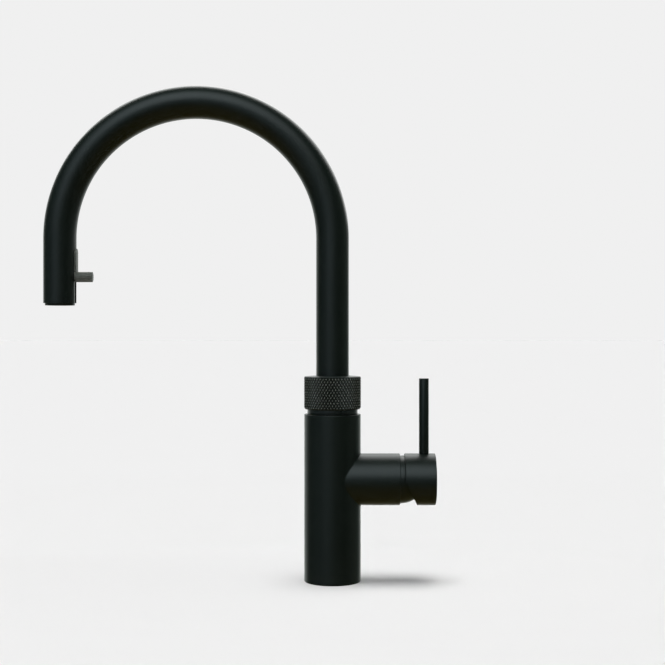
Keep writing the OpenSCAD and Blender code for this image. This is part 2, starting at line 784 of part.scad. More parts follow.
// Diamond knurl: every other point of the grid is a tip, and the ones between are valleys
module knurled_ring() {
  columns = 2 * knurl_n;
  foot_z = knob_z + knurl_foot;
  row_h = (knob_h - knurl_foot - knurl_head) / knurl_rows;
  valley_r = knob_r - knurl_depth;
  bore_r = (knurl_seat_r + 0.02) / cos(180 / columns);
  level = function (z, r, tip) [for (j = [0 : columns - 1])
    let (a = j * 360 / columns, out = (j + tip) % 2 == 0 ? r : valley_r) [out * cos(a), out * sin(a), z]];
  plain = function (z, r) [for (j = [0 : columns - 1])
    [r * cos(j * 360 / columns), r * sin(j * 360 / columns), z]];
  rings = concat(
    [plain(knob_z, knob_r - knurl_depth - 0.35), plain(foot_z, valley_r)],
    [for (k = [1 : knurl_rows - 1]) level(foot_z + k * row_h, knob_r, k)],
    [plain(knob_top_z - knurl_head, valley_r), plain(knob_top_z, knob_r - knurl_depth - 0.35),
      plain(knob_top_z, bore_r), plain(knob_z, bore_r)]);
  count = len(rings);
  at = function (k, j) (k % count) * columns + (j + columns) % columns;
  faces = [for (k = [0 : count - 1], j = [0 : columns - 1])
    each (j + k) % 2 == 0
      ? [[at(k, j), at(k + 1, j), at(k, j + 1)], [at(k, j + 1), at(k + 1, j), at(k + 1, j + 1)]]
      : [[at(k, j), at(k + 1, j), at(k + 1, j + 1)], [at(k, j), at(k + 1, j + 1), at(k, j + 1)]]];
  color(gunmetal) polyhedron([for (level_points = rings) each level_points], faces, convexity = 6);
}

module knob_retainer() {
  color(steel) translate([0, 0, retainer_z]) difference() {
    ring(retainer_r, carrier_bore_r + 0.15, retainer_t);
    rotate([0, 0, 40]) translate([carrier_bore_r - 1, -1.5, -over]) cube([4, 3, retainer_t + 2 * over]);
  }
}

module magnet_spots(grow) {
  magnet_mid_z = (knob_z + retainer_z) / 2 + 1;
  for (a = [180, 270])
    rotate([0, 0, a]) translate([neck_r + free_gap + 0.1 - grow * 3, 0, magnet_mid_z]) rotate([0, 90, 0])
      cylinder(r = magnet_r + grow, h = magnet_depth + grow * 3);
}

module knob_magnets() {
  color(steel) magnet_spots(0);
}

// ---- spout ----

module spout_tube() {
  color(satin_black) difference() {
    union() {
      route_bar(spout_r, 0, spout_foot_z, outlet_z);
      intersection() {
        translate([0, 0, spout_foot_z - stop_tongue_l]) cylinder(r = spout_r, h = stop_tongue_l + over);
        rotate([0, 0, 180 - stop_half_angle]) rotate_extrude(angle = 2 * stop_half_angle)
          translate([0, spout_foot_z - stop_tongue_l]) square([spout_r, stop_tongue_l + over]);
      }
    }
    route_bar(spout_bore_r, 0, spout_foot_z - stop_tongue_l - over, outlet_z - over);
    translate([0, 0, circlip_z - 0.05]) ring(spout_r + over, spout_r - circlip_depth, circlip_t + 0.1);
    at_outlet(outlet_z - over) translate([0, -slot_w / 2, 0])
      cube([spout_r + over, slot_w, slot_spring_z - outlet_z + over]);
    at_outlet(slot_spring_z) rotate([0, 90, 0]) cylinder(d = slot_w, h = spout_r + over);
  }
}

module spout_collar() {
  color(brass) translate([0, 0, collar_z]) ring(collar_r, spout_r + 0.02, collar_t);
}

module thrust_washer() {
  color(white_plastic) translate([0, 0, washer_z])
    ring(foot_recess_r - 0.5, spout_r + 2 * run_fit, washer_t);
}

module spout_circlip() {
  color(steel) translate([0, 0, circlip_z]) difference() {
    ring(spout_r + 2, spout_r - circlip_depth + 0.05, circlip_t);
    translate([0, -2.5, -over]) cube([spout_r + 3, 5, circlip_t + 2 * over]);
  }
}

module boiling_tube() {
  color(steel) difference() {
    route_bar(boil_d / 2, boil_x, pipe_foot_z, boil_end_z);
    route_bar(boil_bore / 2, boil_x, pipe_foot_z - over, boil_end_z - over);
  }
}

// Disc inside the spout tube that holds the two pipes apart
module pipe_guide(z, height, side) {
  translate([0, 0, z]) difference() {
    cylinder(r = spout_bore_r - seat_fit, h = height);
    translate([side * hose_x, 0, -over]) cylinder(r = hose_d / 2 + 0.2, h = height + 2 * over);
    translate([side * boil_x, 0, -over]) cylinder(r = boil_d / 2 + 0.02, h = height + 2 * over);
  }
}

module lower_hose_guide() {
  color(white_plastic) pipe_guide(spout_foot_z + 1, 8, 1);
}

module outlet_guide() {
  color(white_plastic) at_outlet(0) pipe_guide(guide_plate_z, guide_plate_t, -1);
}

module dock_magnet() {
  color(dark_metal) at_outlet(magnet_z) ring(magnet_ring_r, magnet_bore_r, magnet_t);
}

module pullout_hose() {
  color(grey_plastic) difference() {
    route_bar(hose_d / 2, hose_x, pipe_foot_z, hose_end_z);
    route_bar(hose_bore / 2, hose_x, pipe_foot_z - over, hose_end_z - over);
  }
}

module hose_ferrule() {
  color(steel) translate([hose_x, 0, pipe_foot_z])
    ring(hose_d / 2 + ferrule_wall, hose_d / 2 + 0.02, ferrule_l);
}

// ---- nozzle ----

module nozzle_sleeve() {
  color(satin_black) at_outlet(0) difference() {
    translate([0, 0, nozzle_z]) broken_rod(nozzle_r, nozzle_top_z - nozzle_z, 0.4, 0.2);
    translate([0, 0, nozzle_z - over]) cylinder(r = nozzle_bore_r, h = nozzle_top_z);
    translate([nozzle_bore_r + 0.4, 0, pull_pin_z]) rotate([0, 90, 0])
      cylinder(d = pull_pin_d + 0.04, h = nozzle_wall + over);
    translate([0, 0, pull_pin_z]) rotate([0, 90, 0]) cylinder(r = pin_screw_r + 0.02, h = nozzle_r + over);
  }
}

// Strip that fills the slot above the pull pin
module key_strip() {
  strip_w = slot_w - 0.6;
  strip_top = slot_spring_z;
  strip_foot = pull_pin_z + pull_pin_d / 2 + 0.1;
  strip_x = nozzle_r + 0.02;
  strip_t = spout_r + key_proud - strip_x;
  color(gunmetal) at_outlet(0) intersection() {
    union() {
      translate([strip_x - over, -strip_w / 2, strip_foot])
        cube([strip_t + over, strip_w, strip_top - strip_foot]);
      translate([strip_x - over, 0, strip_top]) rotate([0, 90, 0]) cylinder(d = strip_w, h = strip_t + over);
    }
    difference() {
      translate([0, 0, strip_foot - over]) cylinder(r = 2 * spout_r, h = slot_h);
      translate([0, 0, strip_foot - 2 * over]) cylinder(r = nozzle_r + 0.02, h = slot_h + 4 * over);
    }
  }
}

module pull_pin() {
  pin_x = nozzle_bore_r + 0.4;
  pin_l = spout_r + pull_pin_l - pin_x;
  color(gunmetal) at_outlet(pull_pin_z) translate([pin_x, 0, 0]) rotate([0, 90, 0]) difference() {
    broken_rod(pull_pin_d / 2, pin_l, 0.01, 0.3);
    translate([0, 0, -over]) cylinder(r = pin_screw_r + 0.02, h = 6 + over);
  }
}

module pull_pin_screw() {
  head_x = nozzle_bore_r - 1.8;
  color(steel) at_outlet(pull_pin_z) translate([head_x, 0, 0]) rotate([0, 90, 0]) difference() {
    union() {
      cylinder(r = 2, h = 1.5);
      cylinder(r = pin_screw_r, h = nozzle_bore_r + 0.4 - head_x + 5.5);
    }
    translate([0, 0, -over]) cylinder(r = 0.9, h = over + 1, $fn = 6);
  }
}

// Block that takes the hose's end, with a funnel for the boiling water beside it
module hose_fitting() {
  color(brass) at_outlet(fitting_z) difference() {
    cylinder(r = nozzle_fill_r, h = fitting_t);
    translate([-hose_x, 0, hose_end_z - fitting_z]) cylinder(r = hose_d / 2 + 0.02, h = fitting_t);
    translate([-hose_x, 0, -over]) cylinder(r = hose_bore / 2, h = fitting_t);
    translate([-boil_x, 0, -over]) cylinder(r = boil_bore / 2, h = fitting_t + 2 * over);
    translate([-boil_x, 0, boil_end_z - fitting_z - 1]) cylinder(r = boil_d / 2 + 0.3, h = fitting_t);
  }
}

module dock_plate() {
  color(steel) at_outlet(dock_plate_z) ring(magnet_ring_r, magnet_bore_r, dock_plate_t);
}

module aerator_housing() {
  lip = 1;
  color(grey_plastic) at_outlet(housing_z) difference() {
    broken_rod(nozzle_fill_r, housing_t, 0.3, 0.3);
    translate([0, 0, plate_z - housing_z]) cylinder(r = housing_bore_r, h = housing_t);
    translate([0, 0, -over]) cylinder(r = housing_bore_r - lip, h = housing_t);
  }
}

module aerator_seal() {
  color(rubber) at_outlet(housing_z + housing_t + 0.02) ring(nozzle_fill_r - 0.1, housing_bore_r, 1.4);
}

module hole_rings(height, drill, pitches, counts) {
  translate([0, 0, -over]) cylinder(d = drill, h = height + 2 * over);
  for (i = [0 : len(pitches) - 1])
    round_guides(counts[i], 0, pitches[i], -over) cylinder(d = drill, h = height + 2 * over);
}

module spray_plate() {
  third = stack_r / 3.4;
  color(dark_metal) at_outlet(plate_z + 0.02) difference() {
    cylinder(r = stack_r, h = plate_t);
    hole_rings(plate_t, 1.1, [third, 2 * third, 2.8 * third], [6, 12, spray_holes]);
  }
}

module aerator_screens() {
  color(steel) at_outlet(0) for (i = [0, 1])
    translate([0, 0, screen_z + i * (screen_t + 0.05)]) cylinder(r = stack_r, h = screen_t);
}

module flow_straightener() {
  color(white_plastic) at_outlet(straightener_z) difference() {
    cylinder(r = stack_r, h = straightener_t);
    hole_rings(straightener_t, 2.4, [stack_r * 0.4, stack_r * 0.78], [6, 12]);
  }
}

module flow_regulator() {
  color(grey_plastic) at_outlet(regulator_z) difference() {
    cylinder(r = stack_r, h = regulator_t);
    translate([0, 0, 1]) ring(stack_r - 1.2, 3, regulator_t);
    hole_rings(regulator_t, 1.6, [stack_r * 0.6], [8]);
  }
}

tap_body();
base_gasket();
neck_sleeve();
sleeve_o_rings();
light_ring();
led_strip();
spring_seat();
seat_screws();
sensor_board();
upper_swivel_bush();
lower_swivel_bush();
swivel_stop_pin();
cartridge_housing();
port_seals();
fixed_disc();
cartridge_cap();
cartridge_nut();
dome_cover();
cartridge_carrier();
pivot_pin();
moving_disc();
disc_driver();
lever_stem();
lever_hub();
lever_rod();
lever_grub_screw();
push_carrier();
guide_pins();
return_springs();
knob_core();
knurled_ring();
knob_retainer();
knob_magnets();
spout_tube();
spout_collar();
thrust_washer();
spout_circlip();
boiling_tube();
lower_hose_guide();
outlet_guide();
dock_magnet();
pullout_hose();
hose_ferrule();
nozzle_sleeve();
key_strip();
pull_pin();
pull_pin_screw();
hose_fitting();
dock_plate();
aerator_housing();
aerator_seal();
flow_regulator();
flow_straightener();
aerator_screens();
spray_plate();
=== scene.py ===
import json
import math
import bpy
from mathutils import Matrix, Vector


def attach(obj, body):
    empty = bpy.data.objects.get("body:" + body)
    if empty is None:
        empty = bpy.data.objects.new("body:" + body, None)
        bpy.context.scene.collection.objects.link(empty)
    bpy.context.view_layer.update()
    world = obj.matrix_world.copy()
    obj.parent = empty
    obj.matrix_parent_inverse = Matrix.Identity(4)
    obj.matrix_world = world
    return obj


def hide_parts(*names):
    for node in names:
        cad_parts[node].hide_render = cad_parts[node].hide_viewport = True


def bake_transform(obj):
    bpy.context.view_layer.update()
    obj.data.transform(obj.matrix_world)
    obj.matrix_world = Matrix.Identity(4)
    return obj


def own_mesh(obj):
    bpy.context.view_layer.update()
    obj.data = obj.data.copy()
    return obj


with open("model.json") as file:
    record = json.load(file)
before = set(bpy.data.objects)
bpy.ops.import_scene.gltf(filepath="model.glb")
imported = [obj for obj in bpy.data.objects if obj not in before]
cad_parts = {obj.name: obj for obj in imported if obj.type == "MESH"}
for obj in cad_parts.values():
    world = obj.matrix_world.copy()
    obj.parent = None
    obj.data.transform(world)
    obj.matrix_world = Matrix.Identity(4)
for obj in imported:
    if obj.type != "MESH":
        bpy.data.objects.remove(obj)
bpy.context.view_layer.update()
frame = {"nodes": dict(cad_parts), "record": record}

# Black swan-neck tap with a knurled knob, a pull-out nozzle and a side lever. Lengths are in
# millimetres until a helper turns them into metres. The base stands at z 0, the branch runs along
# +X and the spout hangs over -X.
mm = 0.001
scene = bpy.context.scene

shared = {"columnRadius": 23.1, "branchRadius": 21.1, "branchHeight": 83.2, "pivotX": 56.4,
          "spoutRadius": 13.375, "archRadius": 111.75, "archHeight": 280.4,
          "outletHeight": 227.6, "pinHeight": 249.0, "knobTop": 167.1}
outletX = -2 * shared["archRadius"]
pivot = (shared["pivotX"], 0, shared["branchHeight"])
weldGap = 0.002  # corners this close become one
onCircle = 0.03  # how far a picked corner may lie off its circle
onPlane = 0.01  # and off its plane
past = 1  # a cutter starts this far outside the face it cuts
farOut = 60  # and may run on this far, clear of the piece
sharpAngle = 35  # edges that turn by more than this are rounded


def objectMode():
    bpy.ops.object.mode_set(mode="OBJECT")


def deselectAll():
    if bpy.context.object and bpy.context.object.mode != "OBJECT":
        objectMode()
    bpy.ops.object.select_all(action="DESELECT")


def pick(obj):
    deselectAll()
    obj.select_set(True)
    bpy.context.view_layer.objects.active = obj


def applyPlace(obj):
    pick(obj)
    bpy.ops.object.transform_apply(location=True, rotation=True, scale=True)
    return obj


def editStart(obj, mode):
    pick(obj)
    bpy.ops.object.mode_set(mode="EDIT")
    bpy.ops.mesh.select_mode(type=mode)
    bpy.ops.mesh.select_all(action="DESELECT")
    objectMode()


def editAll(obj):
    pick(obj)
    bpy.ops.object.mode_set(mode="EDIT")
    bpy.ops.mesh.select_mode(type="VERT")
    bpy.ops.mesh.select_all(action="SELECT")


def selectVerts(obj, wanted):
    # Selects the corners for which wanted(x, y, z) holds, in millimetres, and stays in edit mode
    editStart(obj, "VERT")
    for vertex in obj.data.vertices:
        vertex.select = bool(wanted(*(vertex.co / mm)))
    bpy.ops.object.mode_set(mode="EDIT")


def selectEdges(obj, wanted):
    # The same for edges, by both their corners
    editStart(obj, "EDGE")
    corners = [vertex.co / mm for vertex in obj.data.vertices]
    for edge in obj.data.edges:
        edge.select = all(wanted(*corners[i]) for i in edge.vertices)
    bpy.ops.object.mode_set(mode="EDIT")


def move(x, y, z):
    bpy.ops.transform.translate(value=(x * mm, y * mm, z * mm))


def extrude(x, y, z):
    bpy.ops.mesh.extrude_region_move(
        TRANSFORM_OT_translate={"value": (x * mm, y * mm, z * mm)})


def bevelEdges(width, segments):
    bpy.ops.mesh.bevel(offset=width * mm, segments=segments, affect="EDGES")
    objectMode()


def weld():
    bpy.ops.mesh.select_all(action="SELECT")
    bpy.ops.mesh.remove_doubles(threshold=weldGap * mm)


def closeShape():
    # Joins what a spin or a copy laid on top of each other, and turns every face outwards
    weld()
    bpy.ops.mesh.normals_make_consistent(inside=False)
    objectMode()


def rod(radius, length, foot, alongX=False, sides=128):
    # A cylinder that starts at foot and runs along +Z or +X
    step = Vector((length / 2, 0, 0)) if alongX else Vector((0, 0, length / 2))
    deselectAll()
    bpy.ops.mesh.primitive_cylinder_add(vertices=sides, radius=radius * mm, depth=length * mm,
                                        location=(Vector(foot) + step) * mm,
                                        rotation=(0, math.pi / 2 if alongX else 0, 0))
    return applyPlace(bpy.context.object)


def block(low, high):
    middle = (Vector(low) + Vector(high)) / 2
    deselectAll()
    bpy.ops.mesh.primitive_cube_add(size=mm, location=middle * mm)
    bpy.context.object.scale = Vector(high) - Vector(low)
    return applyPlace(bpy.context.object)


def ball(radius, centre, sides=128):
    deselectAll()
    bpy.ops.mesh.primitive_uv_sphere_add(segments=sides, ring_count=sides // 2,
                                         radius=radius * mm, location=Vector(centre) * mm,
                                         rotation=(0, math.pi / 2, 0))
    return applyPlace(bpy.context.object)


def lathe(profile, centre=(0, 0, 0), alongX=False, sides=128):
    # One vertex is extruded along a closed outline of (radius, along) points, which is then spun
    points = [Vector((a, 0, r)) if alongX else Vector((r, 0, a)) for r, a in profile]
    deselectAll()
    bpy.ops.mesh.primitive_plane_add(size=mm, location=(points[0] + Vector(centre)) * mm)
    editAll(applyPlace(bpy.context.object))
    bpy.ops.mesh.merge(type="CENTER")
    for here, there in zip(points, points[1:] + points[:1]):
        extrude(*(there - here))
    weld()
    bpy.ops.mesh.select_all(action="SELECT")
    bpy.ops.mesh.spin(steps=sides, angle=2 * math.pi, center=Vector(centre) * mm,
                      axis=(1, 0, 0) if alongX else (0, 0, 1))
    closeShape()
    return bpy.context.object


def copyTo(obj, step):
    pick(obj)
    bpy.ops.object.duplicate()
    bpy.ops.transform.translate(value=Vector(step) * mm)
    return applyPlace(bpy.context.object)


def joinAll(pieces):
    pick(pieces[0])
    for other in pieces[1:]:
        other.select_set(True)
    bpy.ops.object.join()
    return pieces[0]


def applyModifier(obj, kind, **settings):
    pick(obj)
    modifier = obj.modifiers.new(kind.lower(), kind)
    for key, value in settings.items():
        setattr(modifier, key, value)
    bpy.ops.object.modifier_apply(modifier=modifier.name)


def combine(obj, other, operation="DIFFERENCE"):
    applyModifier(obj, "BOOLEAN", object=other, operation=operation, solver="EXACT")
    bpy.data.objects.remove(other)


def roundEdges(obj, width, segments=3):
    applyModifier(obj, "BEVEL", width=width * mm, segments=segments, limit_method="ANGLE",
                  angle_limit=math.radians(sharpAngle), miter_outer="MITER_ARC")


def dressPiece(obj, name, material, smoothAngle=32, even=False):
    applyPlace(obj)
    obj.name = obj.data.name = name
    bpy.ops.object.shade_smooth_by_angle(angle=math.radians(smoothAngle))
    if even:  # large faces beside a cut keep their own shading
        applyModifier(obj, "WEIGHTED_NORMAL", keep_sharp=True)
    obj.data.materials.clear()
    obj.data.materials.append(material)
    print("piece", name, len(obj.data.polygons), "faces")


def finishPiece(obj, name, body, slotName, node, smoothAngle=32, finish=None, even=False):
    # The piece moves with a body and takes the place of a node of the solids
    dressPiece(obj, name, finish or finishes[slotName], smoothAngle, even)
    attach(obj, body)
    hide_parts(node)


class Wire:
    # One output of a node, which can be added, multiplied and so on
    def __init__(self, sheet, socket):
        self.sheet, self.socket = sheet, socket

    def __add__(self, other):
        return self.sheet.maths("ADD", self, other)

    def __sub__(self, other):
        return self.sheet.maths("SUBTRACT", self, other)

    def __rsub__(self, other):
        return self.sheet.maths("SUBTRACT", other, self)

    def __mul__(self, other):
        return self.sheet.maths("MULTIPLY", self, other)

    __radd__ = __add__
    __rmul__ = __mul__


class Sheet:
    # The node tree of one finish, or of the studio's surroundings
    def __init__(self, tree):
        self.tree = tree
        tree.nodes.clear()

    def node(self, kind, settings=None, sockets=None, out=0):
        made = self.tree.nodes.new("ShaderNode" + kind)
        for key, value in (settings or {}).items():
            setattr(made, key, value)
        for key, value in (sockets or {}).items():
            if isinstance(value, Wire):
                self.tree.links.new(value.socket, made.inputs[key])
            else:
                made.inputs[key].default_value = value
        return Wire(self, made.outputs[out]) if made.outputs else None

    def maths(self, operation, first, second=0.0):
        return self.node("Math", {"operation": operation}, {0: first, 1: second})

    def spot(self):
        return self.node("TexCoord", out=3)  # Object coordinates

    def part(self, vector, axis):
        return self.node("SeparateXYZ", {}, {0: vector}, out=axis)

    def mix(self, factor, first, second, blend="MIX"):
        colours = [(*c, 1) if isinstance(c, tuple) else c for c in (first, second)]
        return self.node("Mix", {"data_type": "RGBA", "blend_type": blend},
                         {0: factor, 6: colours[0], 7: colours[1]}, out=2)

    def noise(self, scale, detail=2.0):
        return self.node("TexNoise", {}, {"Vector": self.spot(), "Scale": scale,
                                          "Detail": detail})

    def span(self, value, low, high, outLow=0.0, outHigh=1.0, smooth=False):
        kind = "SMOOTHSTEP" if smooth else "LINEAR"
        return self.node("MapRange", {"interpolation_type": kind},
                         {0: value, 1: low, 2: high, 3: outLow, 4: outHigh})


def surface(name, colour, rough, metallic=0.0, height=None, bumpDepth=0.0, fixed=None):
    # Makes a finish. colour, rough and height are functions that take the sheet and give a wire
    material = bpy.data.materials.new(name)
    material.use_nodes = True
    sheet = Sheet(material.node_tree)
    sockets = {"Base Color": colour(sheet), "Roughness": rough(sheet), "Metallic": metallic,
               **(fixed or {})}
    if height:
        sockets["Normal"] = sheet.node("Bump", {}, {"Strength": 1.0, "Distance": bumpDepth * mm,
                                                    "Height": height(sheet)})
    shader = sheet.node("BsdfPrincipled", {}, sockets)
    sheet.node("OutputMaterial", {}, {"Surface": shader})
    return material


# Here lengths are in metres. Two lamps overhead light the floor, and the key lamp casts the
# shadow. What the black finish mirrors comes from a soft panel behind it and from the
# surroundings: each glow there has a way to it, an inner and an outer angle and a colour
lens = {"focal": 67.13, "distance": 1.0168, "height": 0.2035, "clipEnd": 200}
studio = {
    "pale": (0.871, 0.871, 0.871),
    "above": (0.045, 0.075, 0.062),
    "below": (0.140, 0.115, 0.025),
    "horizon": (-0.75, -0.12),
    "floorSize": 60,
    "lampHeight": 1.5,
    "key": {"strength": 2.46, "spread": 33},
    "fill": {"strength": 0.96, "spread": 150},
    "panel": {"place": (0.0, 0.365, 0.60), "aim": (0.0, 0.0, 0.365), "size": (1.0, 0.5),
              "power": 2.9},
    "glows": [
        {"way": (-0.336, -0.689, 0.643), "inner": 8, "outer": 38, "colour": (0.60, 0.72, 0.77)},
        {"way": (0.02, -0.695, 0.719), "inner": 8, "outer": 38, "colour": (0.94, 1.05, 1.09)},
        {"way": (-0.10, 1.0, 0.12), "inner": 24, "outer": 62, "colour": (0.82, 0.86, 0.83)},
        {"way": (-0.92, -0.5, 0.05), "inner": 8, "outer": 46, "colour": (0.07, 0.09, 0.11)},
        {"way": (-0.33, -0.93, 0.16), "inner": 0, "outer": 32, "colour": (0.18, 0.23, 0.26)},
        {"way": (1.0, 0.1, 0.1), "inner": 5, "outer": 38, "colour": (0.09, 0.10, 0.09)},
    ],
}


def addCamera():
    deselectAll()
    bpy.ops.object.camera_add(location=(0, -lens["distance"], lens["height"]),
                              rotation=(math.pi / 2, 0, 0))
    scene.camera = bpy.context.object
    scene.camera.data.lens = lens["focal"]
    scene.camera.data.clip_end = lens["clipEnd"]
    scene.view_settings.view_transform = "Standard"


def buildSurroundings():
    world = bpy.data.worlds.new("studio")
    scene.world = world
    world.use_nodes = True
    world.cycles_visibility.diffuse = False
    sheet = Sheet(world.node_tree)
    way = sheet.node("TexCoord", out=0)
    total = sheet.mix(sheet.span(sheet.part(way, 2), *studio["horizon"], smooth=True),
                      studio["below"], studio["above"])
    for light in studio["glows"]:
        towards = sheet.node("VectorMath", {"operation": "DOT_PRODUCT"},
                             {0: way, 1: Vector(light["way"]).normalized()}, out=1)
        edge = [math.cos(math.radians(light[key])) for key in ("outer", "inner")]
        total = sheet.mix(sheet.span(towards, *edge, smooth=True), total, light["colour"], "ADD")
    seen = sheet.node("Background", {}, {0: (*studio["pale"], 1)})
    cast = sheet.node("Background", {}, {0: total})
    direct = sheet.node("LightPath", out=0)
    sheet.node("OutputWorld", {}, {0: sheet.node("MixShader", {}, {0: direct, 1: cast, 2: seen})})


def addLamp(values):
    deselectAll()
    bpy.ops.object.light_add(type="SUN", location=(0, 0, studio["lampHeight"]))
    lamp = bpy.context.object
    lamp.data.energy = values["strength"]
    lamp.data.angle = math.radians(values["spread"])
    lamp.visible_glossy = False
    return lamp


def addPanel(values):
    towards = Vector(values["aim"]) - Vector(values["place"])
    deselectAll()
    bpy.ops.object.light_add(type="AREA", location=values["place"],
                             rotation=towards.to_track_quat("-Z", "Y").to_euler())
    panel = bpy.context.object
    panel.data.shape = "RECTANGLE"
    panel.data.size, panel.data.size_y = values["size"]
    panel.data.energy = values["power"]
    panel.visible_camera = panel.visible_diffuse = False


def addFloor():
    deselectAll()
    bpy.ops.mesh.primitive_plane_add(size=studio["floorSize"], location=(0, 0, 0))
    floor = bpy.context.object
    floor.name = "floor"
    floor.visible_glossy = False
    floor.data.materials.append(surface(
        "floorPaper", lambda s: s.mix(s.noise(40), (0.80, 0.80, 0.80), (0.802, 0.802, 0.802)),
        lambda s: s.span(s.noise(90), 0, 1, 0.9, 1.0), fixed={"Specular IOR Level": 0.0}))


addCamera()
buildSurroundings()
keyLamp = addLamp(studio["key"])
fillLamp = addLamp(studio["fill"])
fillLamp.data.use_shadow = fillLamp.data.cycles.use_multiple_importance_sampling = False
addPanel(studio["panel"])
addFloor()
print("studio ready")


def grain(scale, detail=2.0):
    return lambda s: s.noise(scale, detail)


def between(first, second, scale, detail=2.0):
    return lambda s: s.mix(s.span(s.noise(scale, detail), 0.35, 0.65), first, second)


def roughBetween(low, high, scale):
    return lambda s: s.span(s.noise(scale), 0.3, 0.7, low, high)


blackTones = between((0.0030, 0.0054, 0.0040), (0.0036, 0.0063, 0.0047), 45)
finishes = {
    "satin_black": surface("satinBlack", blackTones, roughBetween(0.33, 0.37, 30),
                           height=grain(2600, 3), bumpDepth=0.004),
    "gunmetal": surface("gunmetal", between((0.082, 0.087, 0.077), (0.104, 0.109, 0.098), 350, 4),
                        roughBetween(0.36, 0.44, 600), 0.15, height=grain(3000, 3),
                        bumpDepth=0.004, fixed={"Specular IOR Level": 0.2}),
    "steel": surface("steel", between((0.50, 0.51, 0.52), (0.60, 0.61, 0.62), 400, 4),
                     roughBetween(0.22, 0.34, 700), 1.0, height=grain(2400), bumpDepth=0.003),
    "magnet": surface("magnetPlating", between((0.26, 0.27, 0.28), (0.34, 0.35, 0.36), 300),
                      roughBetween(0.25, 0.4, 500), 1.0),
    "brass": surface("brass", between((0.52, 0.38, 0.15), (0.63, 0.48, 0.22), 220, 4),
                     roughBetween(0.25, 0.42, 500), 1.0, height=grain(1800), bumpDepth=0.004),
    "rubber": surface("blackRubber", between((0.015, 0.015, 0.016), (0.024, 0.024, 0.025), 500),
                      roughBetween(0.6, 0.75, 400), height=grain(1500), bumpDepth=0.01),
    "smoked_ring": surface("smokedRing", between((0.006, 0.009, 0.009), (0.009, 0.012, 0.012),
                                                 120),
                           roughBetween(0.26, 0.34, 200)),
    "board": surface("circuitBoard", between((0.012, 0.09, 0.035), (0.02, 0.14, 0.05), 900, 3),
                     roughBetween(0.4, 0.55, 700)),
    "white_plastic": surface("whitePlastic", between((0.72, 0.72, 0.69), (0.80, 0.80, 0.77), 250),
                             roughBetween(0.38, 0.5, 300), height=grain(1800),
                             bumpDepth=0.005),
    "grey_plastic": surface("greyPlastic", between((0.16, 0.17, 0.18), (0.21, 0.22, 0.23), 250),
                            roughBetween(0.42, 0.55, 300), height=grain(1800), bumpDepth=0.006),
    "ceramic_disc": surface("groundCeramic", between((0.78, 0.76, 0.71), (0.85, 0.83, 0.78), 300),
                            roughBetween(0.15, 0.3, 600)),
}
knobTopBlack = surface("knobTopBlack", blackTones, roughBetween(0.36, 0.42, 30),
                       fixed={"Specular IOR Level": 0.8})
sprayRubber = surface("sprayRubber", between((0.030, 0.032, 0.031), (0.042, 0.044, 0.042), 400),
                      roughBetween(0.45, 0.6, 500), height=grain(1600), bumpDepth=0.01)

# Painted shade for the knurl's grooves and a painted highlight for its tips
knurlPaintedLight = {"valleyRadius": 22.95, "tipRadius": 23.22, "valley": (0.006, 0.008, 0.006),
               "tip": (0.175, 0.19, 0.168)}


def knurlColour(s):
    # The grooves are painted dark as shade and the tips lighter as a painted highlight, by their
    # distance from the axis
    v = knurlPaintedLight
    flat = s.node("VectorMath", {"operation": "MULTIPLY"}, {0: s.spot(), 1: (1, 1, 0)})
    reach = s.node("VectorMath", {"operation": "LENGTH"}, {0: flat}, out=1)
    # painted highlight, rising from the groove to the tip
    paintedTipHighlight = s.span(reach, v["valleyRadius"] * mm, v["tipRadius"] * mm, smooth=True)
    uneven = s.span(s.noise(260, 3), 0.3, 0.7, 0.75, 1.0)
    return s.mix(paintedTipHighlight * uneven, v["valley"], v["tip"])


knurlSurface = surface("gunmetalKnurl", knurlColour, roughBetween(0.32, 0.44, 500), 0.25)

braidWeave = {"threads": 24, "pitch": 1.6, "gap": (0.05, 0.052, 0.055),
              "thread": (0.25, 0.26, 0.27)}


def braidAngle(s):
    # Two sets of threads wind round the hose, one each way. The side of the hose comes with its
    # mesh, so that it turns with the spout, and the height is read from the object's coordinates
    side = s.node("Attribute", {"attribute_name": "hoseSide"}, out=1)
    turn = s.maths("ARCTAN2", s.part(side, 1), s.part(side, 0))
    around = turn * (braidWeave["threads"] / 2)
    along = s.part(s.spot(), 2) * (math.pi / (braidWeave["pitch"] * mm))
    return s.maths("MAXIMUM", s.maths("SINE", around + along), s.maths("SINE", around - along))


def braidColour(s):
    return s.mix(s.span(braidAngle(s), 0.0, 0.8), braidWeave["gap"], braidWeave["thread"])


braid = surface("braidedHose", braidColour, roughBetween(0.4, 0.6, 800), height=braidAngle,
                bumpDepth=0.15)

for row in frame["record"]["subparts"]:
    node = frame["nodes"][row["node"]]
    node.data.materials.clear()
    node.data.materials.append(finishes[row["material_slot"]])
print("finishes ready")


column = {"height": 136.7, "branchEnd": 55.1, "outerEdge": 0.5, "junctionFillet": 0.9,
          "socket": (16.5, 14.0), "groove": (21.55, 18.25, 2.0), "boreFoot": 5.0,
          "pipeRadius": 8.0, "neckBore": (20.65, 112.0), "cartridgeBore": (17.7, 18.0),
          "ports": [(9.652, 8.099), (9.652, -8.099), (12.6, 0.0)], "portRadius": 3.5,
          "portTop": 24.0, "sides": 160}


